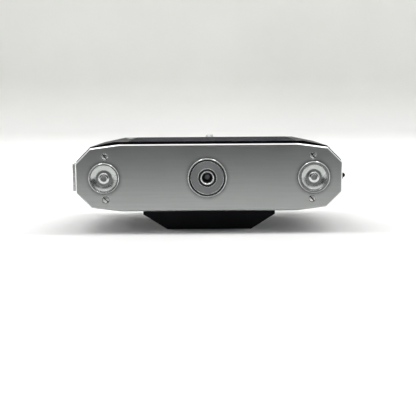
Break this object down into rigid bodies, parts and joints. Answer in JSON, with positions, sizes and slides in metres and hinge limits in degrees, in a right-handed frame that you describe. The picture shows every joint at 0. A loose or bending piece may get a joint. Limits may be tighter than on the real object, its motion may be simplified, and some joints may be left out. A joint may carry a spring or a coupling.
{
  "type": "panoramic film camera",
  "caption": "Swing-lens panoramic film camera lying on its front housing, with a hinged back, spool pins, knobs and a tripod socket.",
  "frame": {"origin": "on the table, under the middle of the camera as it lies on the flat face of its front housing", "axes": "+X along the body, towards the door's hinge and the winding knob; +Y from the base plate to the top plate; +Z up, from the front housing to the back door. In use the camera stands with +Y up."},
  "size_m": [0.15, 0.0778, 0.0498],
  "materials": {
    "black_paint": "semi-matt black enamel on die-cast metal",
    "satin_aluminium": "satin brushed aluminium with fine scratches",
    "satin_chrome": "satin chrome plate",
    "chrome": "turned and polished plate",
    "steel": "plain machined steel",
    "brass": "plain machined brass",
    "leatherette": "fine-grained black leatherette",
    "black_plastic": "matte black moulding",
    "glass": "coated optical glass",
    "level_fluid": "yellow-green level fluid under a clear window"
  },
  "bodies": {
    "camera": {"lower_deck": "black_paint", "upper_deck": "black_paint", "left_chamber": "black_paint", "right_chamber": "black_paint", "base_plate": "satin_aluminium", "top_plate": "satin_chrome", "front_housing": "black_paint", "window_frame": "steel", "film_gate": "steel", "front_skin_left": "leatherette", "front_skin_right": "leatherette", "base_screws": "steel", "top_screws": "steel", "tripod_ring": "satin_aluminium", "tripod_bush": "chrome", "left_pin_bezel": "chrome", "right_pin_bezel": "chrome", "hinge_pin": "black_paint", "latch_base": "steel", "finder_housing": "black_paint", "finder_front_lens": "glass", "finder_eyepiece": "steel", "eyepiece_lens": "glass", "level_case": "chrome", "level_vial": "level_fluid", "shutter_collar": "chrome"},
    "door": {"back_door": "black_paint", "door_skin": "leatherette", "door_rivets": "steel", "cassette_spring": "steel"},
    "latch": {"door_latch": "steel"},
    "left_pin": {"left_spool_pin": "chrome"},
    "right_pin": {"right_spool_pin": "chrome"},
    "drum": {"lens_drum": "black_paint", "lens_barrel": "chrome", "front_element": "glass", "rear_element": "glass", "drum_gear": "brass"},
    "spring_drive": {"spring_barrel": "brass"},
    "governor": {"governor_wheel": "brass"},
    "guide_left": {"left_roller": "steel"},
    "guide_right": {"right_roller": "steel"},
    "transport": {"sprocket": "steel", "sprocket_gear": "brass"},
    "take_up": {"take_up_spool": "black_plastic"},
    "winding": {"winding_knob": "satin_chrome", "winding_shaft": "steel", "winding_gear": "brass"},
    "counter": {"counter_dial": "black_paint"},
    "rewind": {"rewind_knob": "satin_chrome", "rewind_fork": "steel"},
    "shutter_release": {"shutter_button": "chrome"},
    "rewind_release": {"release_button": "steel"},
    "speed": {"speed_dial": "satin_chrome"},
    "aperture": {"aperture_dial": "satin_chrome"}
  },
  "joints": [
    {"name": "door_hinge", "type": "hinge", "parent": "camera", "child": "door", "pos_m": [0.07365, 0, 0.02965], "axis": [0, 1, 0], "range_deg": [0, 120]},
    {"name": "latch_slide", "type": "slide", "parent": "camera", "child": "latch", "axis": [0, 1, 0], "range_m": [0, 0.004], "stiffness_N_per_m": 120},
    {"name": "left_pin_pull", "type": "slide", "parent": "camera", "child": "left_pin", "axis": [0, -1, 0], "range_m": [0, 0.006]},
    {"name": "right_pin_pull", "type": "slide", "parent": "camera", "child": "right_pin", "axis": [0, -1, 0], "range_m": [0, 0.006]},
    {"name": "drum_swing", "type": "hinge", "parent": "camera", "child": "drum", "pos_m": [0, 0, 0.0185], "axis": [0, 1, 0], "range_deg": [0, 140]},
    {"name": "spring_turn", "type": "hinge", "parent": "camera", "child": "spring_drive", "pos_m": [0.0104, 0, 0.02795], "axis": [0, 1, 0], "range_deg": [-110, 10]},
    {"name": "governor_turn", "type": "hinge", "parent": "camera", "child": "governor", "pos_m": [-0.0095, 0, 0.02625], "axis": [0, 1, 0], "range_deg": [-130, 10]},
    {"name": "left_roller_turn", "type": "hinge", "parent": "camera", "child": "guide_left", "pos_m": [-0.0286, 0, 0.03075], "axis": [0, 1, 0], "continuous": true},
    {"name": "right_roller_turn", "type": "hinge", "parent": "camera", "child": "guide_right", "pos_m": [0.0286, 0, 0.03075], "axis": [0, 1, 0], "continuous": true},
    {"name": "wind_turn", "type": "hinge", "parent": "camera", "child": "winding", "pos_m": [0.057, 0, 0.02925], "axis": [0, 1, 0], "continuous": true},
    {"name": "sprocket_turn", "type": "hinge", "parent": "camera", "child": "transport", "pos_m": [0.0375, 0, 0.03575], "axis": [0, 1, 0], "continuous": true},
    {"name": "take_up_turn", "type": "hinge", "parent": "camera", "child": "take_up", "pos_m": [0.057, 0, 0.02925], "axis": [0, 1, 0], "continuous": true},
    {"name": "counter_turn", "type": "hinge", "parent": "camera", "child": "counter", "pos_m": [0.057, 0, 0.02925], "axis": [0, 1, 0], "continuous": true},
    {"name": "rewind_turn", "type": "hinge", "parent": "camera", "child": "rewind", "pos_m": [-0.057, 0, 0.02925], "axis": [0, 1, 0], "continuous": true},
    {"name": "shutter_press", "type": "slide", "parent": "camera", "child": "shutter_release", "axis": [0, -1, 0], "range_m": [0, 0.0015], "stiffness_N_per_m": 250},
    {"name": "release_press", "type": "slide", "parent": "camera", "child": "rewind_release", "axis": [0, -1, 0], "range_m": [0, 0.001], "stiffness_N_per_m": 250},
    {"name": "speed_turn", "type": "hinge", "parent": "camera", "child": "speed", "pos_m": [-0.033, 0, 0.02225], "axis": [0, 1, 0], "range_deg": [0, 240]},
    {"name": "aperture_turn", "type": "hinge", "parent": "camera", "child": "aperture", "pos_m": [0.029, 0, 0.03775], "axis": [0, 1, 0], "range_deg": [0, 150]}
  ],
  "couplings": [
    {"joint": "spring_turn", "follows": "drum_swing", "ratio": -0.71429},
    {"joint": "governor_turn", "follows": "drum_swing", "ratio": -0.83333},
    {"joint": "sprocket_turn", "follows": "wind_turn", "ratio": -1.2},
    {"joint": "take_up_turn", "follows": "wind_turn", "ratio": 1},
    {"joint": "counter_turn", "follows": "wind_turn", "ratio": 0.03}
  ]
}
